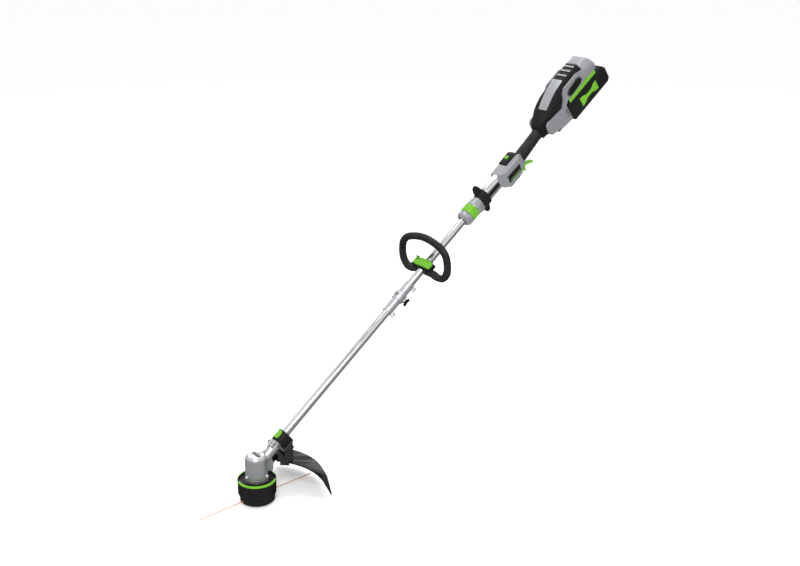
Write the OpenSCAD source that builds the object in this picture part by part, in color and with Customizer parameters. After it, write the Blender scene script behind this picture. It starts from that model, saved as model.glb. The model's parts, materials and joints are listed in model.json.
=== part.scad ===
// String trimmer: a battery head, a telescoping shaft with a split coupler, a loop handle,
// a guard and a two-line cutting head. Millimetres. The origin is the strap hanger's upper eye.

/* [Shaft] */
// Angle of the shaft above the ground when the head sits flat
tilt = 36.9; // [20:0.1:60]
// Height at which the shaft's axis meets the head's axis
axis_z = 109.6; // [90:0.1:140]
// Outside diameter of the round shaft tubes
tube_d = 25.4; // [20:0.1:32]
// Wall of the shaft tubes
tube_wall = 1.5; // [1:0.1:3]
// Distance along the shaft from the head's axis to the joint between the two tubes
split_u = 715; // [600:1:800]
// Distance along the shaft to the loop handle's clamp
handle_u = 847; // [800:1:880]
// Rear end of the inner tube
inner_end_u = 1235; // [1150:1:1250]

/* [Cutting head] */
// Radius of the head at its bottom
head_r = 54.4; // [45:0.05:65]
// Radius of the head at its top rim
rim_r = 60; // [48:0.1:70]
// Height of the top rim
rim_z = 77.6; // [60:0.1:95]
// Height of the cutting line
line_z = 14; // [8:0.5:20]
// Diameter of the cutting line
line_d = 2.4; // [1.6:0.1:3]
// Reach of the cutting line from the head's axis
line_reach = 209; // [150:1:230]
// Direction of the cutting line from the X axis
line_turn = 2.4; // [-90:0.1:90]
// Travel of the bump knob
bump_travel = 4; // [2:0.5:8]
// Outside radius of the motor housing
motor_r = 34.5; // [25:0.5:40]
// Top of the motor housing
motor_top = 156; // [130:1:180]

/* [Guard] */
// Inside radius of the guard's rim at its lower edge
guard_r = 214; // [190:1:240]
// Lower edge of the guard's rim
guard_low = 15; // [12:1:40]
// Upper edge of the guard's rim
guard_top = 73; // [50:1:90]
// Turn of the guard's blade end from the shaft
guard_left = 41; // [20:0.5:60]
// Turn of the guard's straight end from the shaft
guard_right = -19; // [-60:0.5:0]
// Length of the guard's straight end
guard_tail = 80; // [40:1:120]

/* [Loop handle] */
// Diameter of the loop handle's bar
loop_d = 26; // [16:0.1:30]
// Lean of the loop handle towards the rear
loop_lean = 34; // [0:1:40]

/* [Handle section] */
// Width of the flat-sided outer tube
oval_w = 36; // [30:0.5:45]
// Distance between the two arc centres of the outer tube
oval_step = 17; // [5:0.5:30]
// Height of the outer tube's upper arc centre above the shaft's axis
oval_up = 4; // [0:0.5:8]
// Wall of the outer tube
oval_wall = 2; // [1.5:0.1:3]
// Distance along the shaft to the hanger's eyes
eye_u = 1157; // [1140:1:1180]
// Distance of each eye from the shaft's axis
eye_up = 48; // [40:1:60]
// Radius of the hanger's eyes
eye_r = 3.5; // [2:0.1:6]

/* [Battery head] */
// Half the width of the rear housing
rear_half = 42; // [36:0.5:50]
// Height of the rear housing's top above the shaft's axis
rear_top = 80; // [70:1:95]
// Front face of the battery, along the shaft
pack_u0 = 1608.5; // [1600:0.5:1620]
// Rear face of the battery, along the shaft
pack_u1 = 1822; // [1780:1:1840]
// Bottom of the battery
pack_low = -72; // [-80:1:-50]
// Top of the battery's black case
pack_shoulder = 5; // [0:1:10]
// Underside of the dock, just above the battery's rails
dock_up = 20.5; // [15:0.5:30]

/* [Hidden] */
$fn = 48;
// Radial running clearance between a shaft and its own hole
run = 0.05;
// Gap kept between pieces that move past each other
gap = 0.4;
tube_r = tube_d / 2;
home = [
    eye_u * cos(tilt) - eye_up * sin(tilt),
    0,
    axis_z + eye_u * sin(tilt) + eye_up * cos(tilt)
];
black = [0.06, 0.06, 0.065];
metal = [0.78, 0.78, 0.8];
grey = [0.62, 0.62, 0.66];
green = [0.45, 0.75, 0.15];
steel = [0.55, 0.55, 0.57];
copper = [0.72, 0.42, 0.2];
orange = [0.9, 0.4, 0.1];

// ---------- frames and shared shapes ----------

// Working frame of the head: its bottom centre at the origin
module head() {
    translate(-home) children();
}

// Shaft frame: X along the shaft from the head's axis, Z square to it and up
module shaft() {
    head() translate([0, 0, axis_z]) rotate([0, -tilt, 0]) children();
}

// Cylinder along the shaft from u0 to u1
module rod(r, u0, u1, y = 0, up = 0) {
    translate([u0, y, up]) rotate([0, 90, 0]) cylinder(r = r, h = u1 - u0);
}

// Tube along the shaft
module pipe(r_out, r_in, u0, u1) {
    difference() {
        rod(r_out, u0, u1);
        rod(r_in, u0 - 1, u1 + 1);
    }
}

// Cylinder across the shaft from y0 to y1
module cross(r, y0, y1, u, up) {
    translate([u, y1, up]) rotate([90, 0, 0]) cylinder(r = r, h = y1 - y0);
}

// Block across the shaft frame
module block(u0, u1, y0, y1, z0, z1) {
    translate([u0, y0, z0]) cube([u1 - u0, y1 - y0, z1 - z0]);
}

// Outline in the plane across the shaft, given as (y, up), pushed along the shaft
module along(u0, u1) {
    translate([u0, 0, 0]) rotate([90, 0, 90]) linear_extrude(u1 - u0) children();
}

// Outline in the side plane, given as (u, up), pushed across from y0 to y1
module sideways(y0, y1) {
    translate([0, y1, 0]) rotate([90, 0, 0]) linear_extrude(y1 - y0) children();
}

// Outline in plan, given as (u, y), pushed upwards
module upwards(z0, z1) {
    translate([0, 0, z0]) linear_extrude(z1 - z0) children();
}

// Flat-sided oval of the outer tube, grown by more all round
module oval(more = 0) {
    r = oval_w / 2 + more;
    translate([0, oval_up]) circle(r = r);
    translate([0, oval_up - oval_step]) circle(r = r);
    translate([-r, oval_up - oval_step]) square([2 * r, oval_step]);
}

// Screw along local -Z: head above the origin, shank below
module screw(head_r, head_h, shank_r, shank_l) {
    difference() {
        cylinder(r = head_r, h = head_h);
        translate([0, 0, head_h / 2]) cylinder(r = head_r * 0.55, h = head_h, $fn = 6);
    }
    translate([0, 0, -shank_l]) cylinder(r = shank_r, h = shank_l);
}

// ---------- cutting head ----------

spindle_r = 5;
cover_z0 = 5;
cover_z1 = 24;
dish_z = 70;
hub_r = 11;
hub_z = 46;
knob_r = 46;
cover_in = 50.5;
knob_h = 5;
hub_knob_r = 17;
spool_z0 = knob_h + bump_travel + 0.5;
spool_z1 = 34;
spool_r = 46;
eyelet_r = 3.5;

module head_housing() color(black) head() difference() {
    rotate_extrude($fn = 96) polygon([
        [spindle_r + run, hub_z], [hub_r, hub_z], [hub_r, dish_z - 4], [cover_in, dish_z - 4],
        [cover_in, cover_z1], [head_r + 0.3, cover_z1], [rim_r - 1, cover_z1 + 5], [rim_r, rim_z - 3],
        [rim_r - 1, rim_z], [rim_r - 4, rim_z], [rim_r - 5, dish_z], [spindle_r + run, dish_z]
    ]);
    for (a = [20 : 60 : 320]) rotate([0, 0, a]) translate([36, 0, dish_z - 1.5]) cylinder(r = 3, h = 3);
}

arrow_in = 55.2;
arrow_out = rim_r + 0.2;
arrow_low = rim_z - 5.2;

// Two green strips let into the rim's top outer edge, each ending in an arrowhead
module arrow_ring() color(green) head() for (a = [165, 345]) rotate([0, 0, a]) {
    rotate_extrude(angle = 135, $fn = 96) arrow_band();
    rotate([0, 0, 135]) intersection() {
        rotate_extrude(angle = 18, $fn = 96) arrow_band();
        linear_extrude(rim_z + 5) polygon([[arrow_in - 1, -1], [arrow_out + 6, -1], [arrow_in + 0.6, 19]]);
    }
}

module arrow_band() {
    polygon([
        [arrow_in, rim_z + 0.05], [rim_r - 0.9, rim_z + 0.05], [rim_r + 0.05, rim_z - 3],
        [rim_r + 0.05, arrow_low], [arrow_out, arrow_low], [arrow_out, rim_z - 3],
        [rim_r - 0.8, rim_z + 0.35], [arrow_in, rim_z + 0.35]
    ]);
}

module spool_cover() color(black) head() difference() {
    rotate_extrude($fn = 96) polygon([
        [cover_in, cover_z0], [head_r - 1.5, cover_z0], [head_r, cover_z0 + 1.5],
        [head_r, cover_z1 - 0.1], [cover_in, cover_z1 - 0.1]
    ]);
    rotate([0, 0, line_turn]) for (s = [0, 180]) rotate([0, 0, s]) {
        translate([0, 0, line_z]) rotate([0, 90, 0]) cylinder(r = eyelet_r, h = 90);
    }
    for (a = [45 : 90 : 315]) rotate([0, 0, a]) translate([head_r - 1.2, -9, 9]) cube([3, 18, 8]);
}

module line_eyelets() color(steel) head() rotate([0, 0, line_turn]) for (s = [0, 180]) {
    rotate([0, 0, s]) translate([0, 0, line_z]) rotate([0, 90, 0]) difference() {
        union() {
            translate([0, 0, cover_in + 0.2]) cylinder(r = eyelet_r - 0.02, h = head_r - cover_in + 0.2);
            translate([0, 0, head_r + 0.3]) cylinder(r = eyelet_r + 1, h = 1.2);
        }
        cylinder(r = line_d / 2 + 0.4, h = 90);
    }
}

module cutting_line() color(orange) head() rotate([0, 0, line_turn]) for (s = [0, 180]) {
    rotate([0, 0, s]) translate([44.5, 0, line_z]) rotate([0, 90, 0]) {
        cylinder(r = line_d / 2, h = line_reach - 44.5, $fn = 24);
    }
}

module spool() color(black) head() rotate_extrude($fn = 96) polygon([
    [hub_knob_r + run, spool_z0], [spool_r, spool_z0], [spool_r, spool_z0 + 2], [21, spool_z0 + 2],
    [21, spool_z1 - 2], [spool_r, spool_z1 - 2], [spool_r, spool_z1], [21, spool_z1],
    [21, 37], [15, 38], [15, 58], [hub_r + run, 58], [hub_r + run, 38], [0, 38], [0, 34],
    [hub_knob_r + run, 34]
]);

module line_winding() color(orange) head() rotate_extrude($fn = 96) polygon([
    [21.1, spool_z0 + 2.1], [42, spool_z0 + 2.1], [43.2, spool_z0 + 5], [42, spool_z0 + 8],
    [43.2, spool_z0 + 11], [42, spool_z0 + 14], [43.2, spool_z0 + 17], [42, spool_z1 - 2.1],
    [21.1, spool_z1 - 2.1]
]);

spring_z0 = 5;
spring_z1 = 33.9;
spring_turns = 5;

// Helix of short straight bars, each a prism between two turned square rings
function coil_at(t, r, off) = [
    (r + off[0]) * cos(t * 360),
    (r + off[0]) * sin(t * 360),
    spring_z0 + 1 + (spring_z1 - spring_z0 - 2) * t / spring_turns + off[1]
];

module coil(r, wire, turns, sides) {
    steps = turns * sides;
    corners = [[-wire, -wire], [wire, -wire], [wire, wire], [-wire, wire]];
    points = [for (i = [0 : steps]) for (c = corners) coil_at(i / sides, r, c)];
    walls = [
        for (i = [0 : steps - 1]) for (j = [0 : 3])
            [i * 4 + j, i * 4 + (j + 1) % 4, (i + 1) * 4 + (j + 1) % 4, (i + 1) * 4 + j]
    ];
    last = steps * 4;
    polyhedron(points, concat([[3, 2, 1, 0]], walls, [[last, last + 1, last + 2, last + 3]]));
}

module bump_spring() color(steel) head() coil(11, 0.9, spring_turns, 16);

module bump_knob() color(black) head() difference() {
    union() {
        rotate_extrude($fn = 96) polygon([
            [0, 0], [knob_r - 2.5, 0], [knob_r, 2.5], [knob_r, knob_h], [hub_knob_r, knob_h],
            [hub_knob_r, 27], [14, 27], [14, knob_h], [0, knob_h]
        ]);
    }
    for (a = [0 : 45 : 315]) rotate([0, 0, a]) translate([24, -4, -1]) cube([18, 8, 3.5]);
}

// ---------- motor ----------

motor_in = motor_r - 3;
base_z = 72;
bearing_r = 11;
tube_start = 50;
neck_r = 15.8;
neck_end = 99;
boss_r = 5.5;
boss_ring = motor_r + 1;

module motor_housing() color(metal) difference() {
    union() {
        head() {
            rotate_extrude($fn = 96) polygon([
                [0, base_z + 0.5], [motor_r + 2, base_z + 0.5], [motor_r + 1.8, base_z + 9],
                [motor_r + 1, base_z + 12],
                [motor_r - 0.5, motor_top - 14], [motor_r - 3, motor_top - 6], [motor_r - 9, motor_top],
                [0, motor_top]
            ]);
            translate([0, 0, base_z]) linear_extrude(1.2) {
                circle(r = motor_r + 2.3);
                for (a = [60, 180, 300]) rotate([0, 0, a]) translate([boss_ring, 0]) circle(r = boss_r + 0.3);
            }
            for (a = [60, 180, 300]) rotate([0, 0, a]) translate([boss_ring, 0, base_z + 0.6]) {
                cylinder(r = boss_r, h = 18);
                translate([0, 0, 18]) cylinder(r1 = boss_r, r2 = boss_r - 3, h = 4);
            }
            translate([0, -4, base_z + 18]) cube([motor_r + 5, 8, 60]);
        }
        shaft() {
            rod(neck_r, 22, neck_end);
            sideways(-5, 5) polygon([[-4, 30], [14, 42], [50, 24], [80, 14], [80, 0], [10, 0]]);
            sideways(-6, 6) polygon([[-4, -20], [56, -10], [50, -34], [30, -54]]);
            block(76, neck_end, -11, 13, 8, 21);
            cross(6.5, 0, 16.8, 74, 0);
        }
    }
    head() {
        translate([0, 0, base_z - 1]) cylinder(r = motor_in, h = 62);
        translate([0, 0, 132]) cylinder(r = bearing_r, h = 11);
        translate([0, 0, 140]) cylinder(r = 7, h = 8);
        translate([-3.5, -20.5, motor_top - 1.5]) cube([12.7, 41, 3]);
        for (a = [60, 180, 300]) rotate([0, 0, a]) translate([boss_ring, 0, base_z - 1]) {
            cylinder(r = 2, h = 14);
        }
    }
    shaft() {
        rod(tube_r + 0.02, tube_start, neck_end + 1);
        rod(6, 18, tube_start + 1);
        block(68, neck_end + 1, -1.5, 1.5, 10, 26);
        cross(2.55, -20, 20, 89, 16.3);
        cross(4, 11.5, 18, 74, 0);
    }
}

module motor_base() color(metal) head() difference() {
    union() {
        translate([0, 0, base_z + 0.1]) cylinder(r = motor_in - 0.05, h = 6);
        translate([0, 0, base_z + 6]) cylinder(r = 15, h = 8);
    }
    translate([0, 0, base_z + 4]) cylinder(r = bearing_r, h = 12);
    translate([0, 0, base_z - 1]) cylinder(r = 7, h = 20);
}

module stator() color(copper) head() difference() {
    translate([0, 0, 92]) cylinder(r = motor_in - 0.05, h = 38);
    translate([0, 0, 91]) cylinder(r = 13, h = 40);
    for (a = [0 : 60 : 300]) rotate([0, 0, a + 30]) translate([12, -1.5, 91]) cube([7, 3, 40]);
}

module motor_bearings() color(steel) head() for (z = [base_z + 4, 134]) {
    translate([0, 0, z]) difference() {
        cylinder(r = bearing_r, h = 8);
        translate([0, 0, -1]) cylinder(r = spindle_r + 0.02, h = 10);
    }
}

module rotor() color(steel) head() difference() {
    translate([0, 0, 90]) cylinder(r = 12.4, h = 42);
    translate([0, 0, 89]) cylinder(r = spindle_r, h = 44);
}

module motor_spindle() color(steel) head() translate([0, 0, hub_z - 7]) cylinder(r = spindle_r, h = 98);

module spindle_nut() color(steel) head() translate([0, 0, hub_z - 5.5]) difference() {
    cylinder(r = 9, h = 5.5, $fn = 6);
    translate([0, 0, -1]) cylinder(r = spindle_r + 0.02, h = 8);
}

// Three screws under the motor, the neck's pinch screw and its locating screw
module motor_screws() color(steel) {
    head() for (a = [60, 180, 300]) rotate([0, 0, a]) translate([boss_ring, 0, base_z - 0.1]) {
        translate([0, 0, -0.8]) cylinder(r = 3.6, h = 0.8);
        cylinder(r = 2, h = 12);
    }
    shaft() translate([89, 13.1, 16.3]) rotate([-90, 0, 0]) screw(4.5, 5, 2.5, 23);
    shaft() translate([74, 17.6, 0]) rotate([-90, 0, 0]) screw(4.5, 5, 3.9, 4);
}

module lower_tube() color(metal) shaft() pipe(tube_r, tube_r - tube_wall, tube_start, split_u - 1);

// ---------- guard ----------

bracket_u0 = 101;
bracket_u1 = 139;
bracket_low = -23;
plate_low = -26;

module guard_bracket() color(black) shaft() difference() {
    along(bracket_u0, bracket_u1) polygon([
        [-19, bracket_low], [19, bracket_low], [22, -18], [22, 8], [12, 20], [-12, 20], [-22, 8], [-22, -18]
    ]);
    rod(tube_r, bracket_u0 - 1, bracket_u1 + 1);
    for (y = [-17.5, 17.5]) translate([124, y, bracket_low - 1]) cylinder(r = 2, h = 16);
    block(bracket_u0 + 5, bracket_u1 - 5, 21, 23, -8, 4);
    block(bracket_u0 + 5, bracket_u1 - 5, -23, -21, -8, 4);
}

module bracket_cap() color(green) shaft() upwards(20, 22.4) {
    for (u = [117, 126]) translate([u, 0]) circle(r = 10);
    translate([117, -10]) square([9, 20]);
}

plate_u0 = 91;
plate_in = 17.2;
plate_half = 21;

// Steel saddle under the shaft, with an upright leg each side of the motor's neck
module guard_plate() color(steel) shaft() difference() {
    union() {
        block(plate_u0, bracket_u1, -plate_half, plate_half, plate_low, bracket_low);
        block(plate_u0, 97, -plate_half, -plate_in, plate_low, 11);
        block(plate_u0, 97, plate_in, plate_half, plate_low, 11);
    }
    for (y = [-17.5, 17.5]) translate([124, y, plate_low - 1]) cylinder(r = 2, h = 5);
}

rim_in = guard_r - 8;
roof_in = 112;
roof_rise = 32;

// Section of the guard: a leaning rim under a sloping roof
module guard_rim() {
    polygon([
        [guard_r, guard_low], [guard_r + 3, guard_low], [rim_in + 3, guard_top], [rim_in, guard_top - 3]
    ]);
}

module guard_roof() {
    polygon([
        [rim_in, guard_top - 3], [rim_in + 3, guard_top], [roof_in, guard_top + roof_rise],
        [roof_in, guard_top + roof_rise - 3]
    ]);
}

module guard() color(black) difference() {
    union() {
        head() {
            rotate([0, 0, guard_right]) rotate_extrude(angle = guard_left - guard_right, $fn = 160) {
                guard_rim();
                guard_roof();
            }
            rotate([0, 0, guard_left]) rotate([90, 0, 0]) linear_extrude(3) polygon([
                [roof_in + 1, 48], [roof_in + 1, guard_top + roof_rise - 2], [rim_in + 2, guard_top - 2],
                [guard_r + 1.5, guard_low + 1], [guard_r - 1, guard_low + 10]
            ]);
            rotate([0, 0, guard_right]) intersection() {
                rotate([90, 0, 0]) linear_extrude(guard_tail) union() {
                    guard_rim();
                    guard_roof();
                }
                linear_extrude(200) polygon([
                    [130, 1], [230, 1], [230, -guard_tail], [200, -guard_tail], [190, -50]
                ]);
                rotate([90, 0, 90]) linear_extrude(230) polygon([
                    [1, 0], [1, 120], [-40, 120], [2 - guard_tail * 0.75, guard_top],
                    [-guard_tail, guard_low + 9], [-guard_tail, guard_low], [-guard_tail + 4, 0]
                ]);
            }
            translate([92, -20, 98]) cube([32, 40, 75]);
        }
    }
    head() translate([96, -16, 90]) cube([24, 32, 48]);
    shaft() block(60, 200, -60, 60, plate_low - 0.01, 40);
    for (y = [-17.5, 17.5]) shaft() translate([124, y, -60]) {
        cylinder(r = 2, h = 60);
        cylinder(r = 4.3, h = 16);
    }
    rotate_blade() for (y = [-10, 10]) translate([200, y, 26]) rotate([0, 90, 0]) cylinder(r = 1.8, h = 20);
}

blade_turn = 33;

module rotate_blade() {
    head() rotate([0, 0, blade_turn]) children();
}

module line_blade() color(steel) rotate_blade() difference() {
    translate([line_reach + 1, 0, 0]) rotate([90, 0, 90]) linear_extrude(1.5) polygon([
        [-16, 9], [16, 5], [16, 24], [12, 31], [-8, 31], [-16, 22]
    ]);
    for (y = [-10, 10]) translate([200, y, 26]) rotate([0, 90, 0]) cylinder(r = 1.8, h = 20);
}

module guard_screws() color(steel) {
    for (y = [-17.5, 17.5]) shaft() translate([124, y, -44]) {
        translate([0, 0, -3]) cylinder(r = 4, h = 3);
        cylinder(r = 1.95, h = 34);
    }
    rotate_blade() for (y = [-10, 10]) translate([line_reach + 1, y, 26]) rotate([0, 90, 0]) {
        translate([0, 0, -0.8]) cylinder(r = 3.4, h = 0.8);
        cylinder(r = 1.75, h = 6.5);
    }
}

// ---------- split coupler ----------

sleeve_r = 15.7;
sleeve_u0 = 645;
sleeve_u1 = 770;
pinch_us = [653, 762];
knob_turn = 135;

// Lugs, knob and bolts stand on the coupler's lower right side
module coupler_side() {
    rotate([knob_turn, 0, 0]) children();
}

module coupler_body() color(metal) shaft() difference() {
    union() {
        rod(sleeve_r, sleeve_u0, sleeve_u1);
        rod(sleeve_r + 3.5, 697, 727);
        translate([712, 0, 10]) cylinder(r = 9, h = 11);
        coupler_side() {
            translate([712, 0, 10]) cylinder(r = 8.5, h = 13);
            for (u = pinch_us) block(u - 8, u + 8, -5, 5, 12, 27);
        }
    }
    rod(tube_r + run, sleeve_u0 - 1, sleeve_u1 + 1);
    translate([712, 0, 10]) cylinder(r = 6, h = 20);
    coupler_side() {
        translate([712, 0, 10]) cylinder(r = 3 + run, h = 20);
        block(sleeve_u0 - 1, 672, -1, 1, 10, 30);
        block(746, sleeve_u1 + 1, -1, 1, 10, 30);
        for (u = pinch_us) cross(2.05, -6, 6, u, 21.5);
    }
}

module coupler_bolts() color(steel) shaft() coupler_side() for (u = pinch_us) {
    translate([u, 5.05, 21.5]) rotate([-90, 0, 0]) screw(4, 3.5, 2, 10);
}

// The pieces in the split: a plug on the lower shaft and its socket in the upper one
module lower_plug() color(black) shaft() {
    rod(tube_r - tube_wall, split_u - 26, split_u - 1.2);
    for (a = [0, 120, 240]) rotate([a, 0, 0]) rod(1.4, split_u - 2, split_u + 9, 0, 6);
}

module upper_socket() color(black) shaft() difference() {
    rod(tube_r - tube_wall, split_u + 1.2, split_u + 28);
    for (a = [0, 120, 240]) rotate([a, 0, 0]) rod(1.8, split_u, split_u + 12, 0, 6);
}

module upper_tube() color(metal) shaft() pipe(tube_r, tube_r - tube_wall, split_u + 1, inner_end_u);

module release_button() color(steel) shaft() translate([712, 0, tube_r + 4.4]) {
    cylinder(r = 6 - run, h = 5.9);
    translate([0, 0, 5.9]) sphere(r = 2.4);
}

module wing_knob() color(black) shaft() coupler_side() translate([712, 0, 0]) rotate([0, 0, 50]) {
    translate([0, 0, tube_r + 0.3]) cylinder(r = 3, h = 13);
    translate([0, 0, 23 + gap]) cylinder(r = 7, h = 6);
    translate([-11, -2.5, 24.5]) cube([22, 5, 9]);
    for (x = [-11, 11]) translate([x, 2.5, 29.5]) rotate([90, 0, 0]) cylinder(r = 5, h = 5);
}

// ---------- loop handle ----------

clamp_half = 19;

// Half of the loop's centre line, as (across, up), from the clamp round to the top
loop_half = [
    [24, -15], [42, -17], [64, -22], [88, -19], [105, -3], [112, 16], [112, 41], [105, 64], [84, 83],
    [52, 94], [26, 99], [0, 101]
];
loop_line = concat(loop_half, [for (i = [10 : -1 : 0]) [-loop_half[i][0], loop_half[i][1]]]);

// Smooth curve through a list of points
function pick(line, i) = line[min(max(i, 0), len(line) - 1)];
function smooth(a, b, c, d, t) =
    0.5 * (2 * b + (c - a) * t + (2 * a - 5 * b + 4 * c - d) * t * t + (3 * b - a - 3 * c + d) * t * t * t);
function curve(line, n) = [
    for (i = [0 : len(line) - 2]) for (k = [0 : n - 1])
        smooth(pick(line, i - 1), line[i], line[i + 1], pick(line, i + 2), k / n),
    line[len(line) - 1]
];
function unit(v) = v / norm(v);

// Round bar that follows a flat curve in the plane across the shaft
module bar_along(line, r, sides) {
    last = len(line) - 1;
    points = [
        for (i = [0 : last])
            let (t = unit(line[min(i + 1, last)] - line[max(i - 1, 0)]), n = [-t[1], t[0]])
            for (j = [0 : sides - 1])
                let (a = 360 * j / sides, p = line[i] + n * r * cos(a))
                [r * sin(a), p[0], p[1]]
    ];
    walls = [
        for (i = [0 : last - 1]) for (j = [0 : sides - 1])
            [
                i * sides + j, (i + 1) * sides + j,
                (i + 1) * sides + (j + 1) % sides, i * sides + (j + 1) % sides
            ]
    ];
    first_cap = [for (j = [0 : sides - 1]) j];
    last_cap = [for (j = [sides - 1 : -1 : 0]) last * sides + j];
    polyhedron(points, concat([first_cap], walls, [last_cap]));
}

module loop_bar() {
    translate([handle_u, 0, 0]) rotate([0, loop_lean, 0]) bar_along(curve(loop_line, 3), loop_d / 2, 16);
}

module loop_handle() color(black) shaft() difference() {
    union() {
        loop_bar();
        block(handle_u - clamp_half, handle_u + clamp_half, -28, 28, -21, -0.2);
    }
    rod(tube_r + run, handle_u - 60, handle_u + 60);
    for (u = [-12, 12], y = [-19, 19]) translate([handle_u + u, y, -22]) cylinder(r = 2.1, h = 30);
}

lever_y = 34;
lever_up = 19;
lever_half = 13;

module handle_clamp_cap() color(black) shaft() difference() {
    union() {
        along(handle_u - clamp_half, handle_u + clamp_half) polygon([
            [-26, 0.2], [28, 0.2], [40, 8], [40, 13], [22, 13], [14, 16], [-14, 16], [-26, 10]
        ]);
        for (s = [-1, 1]) translate([handle_u + s * 15.4, 0, 0]) {
            sideways(lever_y - 6, lever_y + 6) polygon([[-1.9, 10], [1.9, 10], [1.9, 24], [-1.9, 24]]);
        }
    }
    rod(tube_r + run, handle_u - 60, handle_u + 60);
    rod(3 + run, handle_u - 30, handle_u + 30, lever_y, lever_up);
    for (u = [-12, 12], y = [-19, 19]) translate([handle_u + u, y, -1]) cylinder(r = 2.1, h = 12);
}

module clamp_lever() color(green) shaft() {
    along(handle_u - lever_half, handle_u + lever_half) polygon([
        [-42, 13.8], [-42, 19], [-36, 24], [-14, 27], [20, 27], [36, 23.4], [38.5, 19], [35, 16.6],
        [-24, 16.6], [-34, 13.8]
    ]);
    rod(5, handle_u - lever_half, handle_u + lever_half, lever_y, lever_up);
    rod(3, handle_u - 17, handle_u + 17, lever_y, lever_up);
}

// ---------- telescope collar and hanger ----------

cap_u0 = 1054;
ring_u0 = 1079.5;
ring_u1 = 1109;
sleeve_end = 1143;
core_r = 23.6;
collet_r = 17;

module collar_cap() color(grey) shaft() difference() {
    translate([cap_u0, 0, -2]) rotate([0, 90, 0]) union() {
        cylinder(r1 = 22.5, r2 = 27.5, h = 8, $fn = 96);
        translate([0, 0, 8]) cylinder(r = 27.5, h = ring_u0 - cap_u0 - 8 - gap, $fn = 96);
    }
    rod(tube_r + 0.5, cap_u0 - 1, ring_u0);
    rod(collet_r, cap_u0 + 4, ring_u0);
}

module collet() color(black) shaft() difference() {
    rod(collet_r, cap_u0 + 4, ring_u1 + 8);
    rod(tube_r + run, cap_u0 + 3, ring_u1 + 9);
    for (a = [45 : 90 : 315]) rotate([a, 0, 0]) block(cap_u0 + 3, ring_u1 - 12, -0.7, 0.7, tube_r - 1, 18);
}

module lock_ring() color(green) shaft() difference() {
    union() {
        rod(28, ring_u0, ring_u1 - gap);
        rotate([-50, 0, 0]) block(ring_u0, ring_u1 - gap, -30, -20, -6, 6);
    }
    rod(core_r + run, ring_u0 - 1, ring_u1 + 1);
}

module collar_sleeve() color(grey) shaft() difference() {
    union() {
        rod(core_r, ring_u0 - gap, ring_u1 + 1);
        along(ring_u1, sleeve_end) oval(5);
    }
    rod(collet_r, ring_u0 - 2, ring_u1 + 20);
    along(ring_u1 + 10, sleeve_end + 1) oval();
}

ear_w = 8;

module hanger_ear() {
    sideways(-ear_w / 2, ear_w / 2) polygon([
        [sleeve_end + 1, 18], [sleeve_end + 1, 40], [eye_u - 8, eye_up + 6], [eye_u - 4, eye_up + 10],
        [eye_u + 6, eye_up + 10], [eye_u + 10, eye_up + 4], [1176, 26], [1176, 18]
    ]);
}

module strap_hanger() color(black) shaft() difference() {
    union() {
        along(sleeve_end + 0.2, 1177) oval(4.5);
        hanger_ear();
        mirror([0, 0, 1]) hanger_ear();
        translate([eye_u + 2, -15.4, 19.4]) rotate([45, 0, 0]) translate([-8, -4, 0]) cube([16, 8, 4]);
    }
    along(sleeve_end, 1178) oval();
    for (s = [-1, 1]) cross(eye_r, -10, 10, eye_u, s * eye_up);
}

oval_u0 = ring_u1 + 11;
oval_u1 = 1286;

module outer_tube() color(metal) shaft() difference() {
    along(oval_u0, oval_u1) oval();
    along(oval_u0 - 1, oval_u1 + 1) oval(-oval_wall);
    for (s = [-1, 1]) block(1177.5, 1236, s * 18 - 1, s * 18 + 1, -10, 5);
}

module side_inserts() color(black) shaft() for (s = [-1, 1]) {
    block(1178, 1235.5, s * 17.5 - 0.45, s * 17.5 + 0.45, -9.8, 4.8);
}

// ---------- trigger housing and grip ----------

housing_half = 28;
trigger_u = 1341;
trigger_up = -33;
screw_spots = [[1275, -43], [1310, -46]];
housing_cut = 6;

// Side outline of the trigger housing, and its outline across the shaft
module housing_side() {
    polygon([
        [1238, -22], [1237, 10], [1250, 22], [1272, 25], [1346, 25], [1362, 12], [1362, -24], [1340, -30],
        [1330, -44], [1318, -54], [1275, -55], [1247, -34]
    ]);
}

module housing_across(in = 0) {
    h = housing_half - in;
    c = housing_cut;
    polygon([
        [-h, -44 + in], [-h, 13 - in], [-15, 26 - in], [15, 26 - in], [h, 13 - in], [h, -44 + in],
        [h - c - 4, -56 + in], [c + 4 - h, -56 + in]
    ]);
}

// Outline from above: both ends narrow
module housing_plan(in = 0) {
    h = housing_half - in;
    polygon([
        [1230, -17 + in], [1250, -20 + in], [1272, -h], [1342, -h], [1364, -20 + in], [1364, 20 - in],
        [1342, h], [1272, h], [1250, 20 - in], [1230, 17 - in]
    ]);
}

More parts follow.
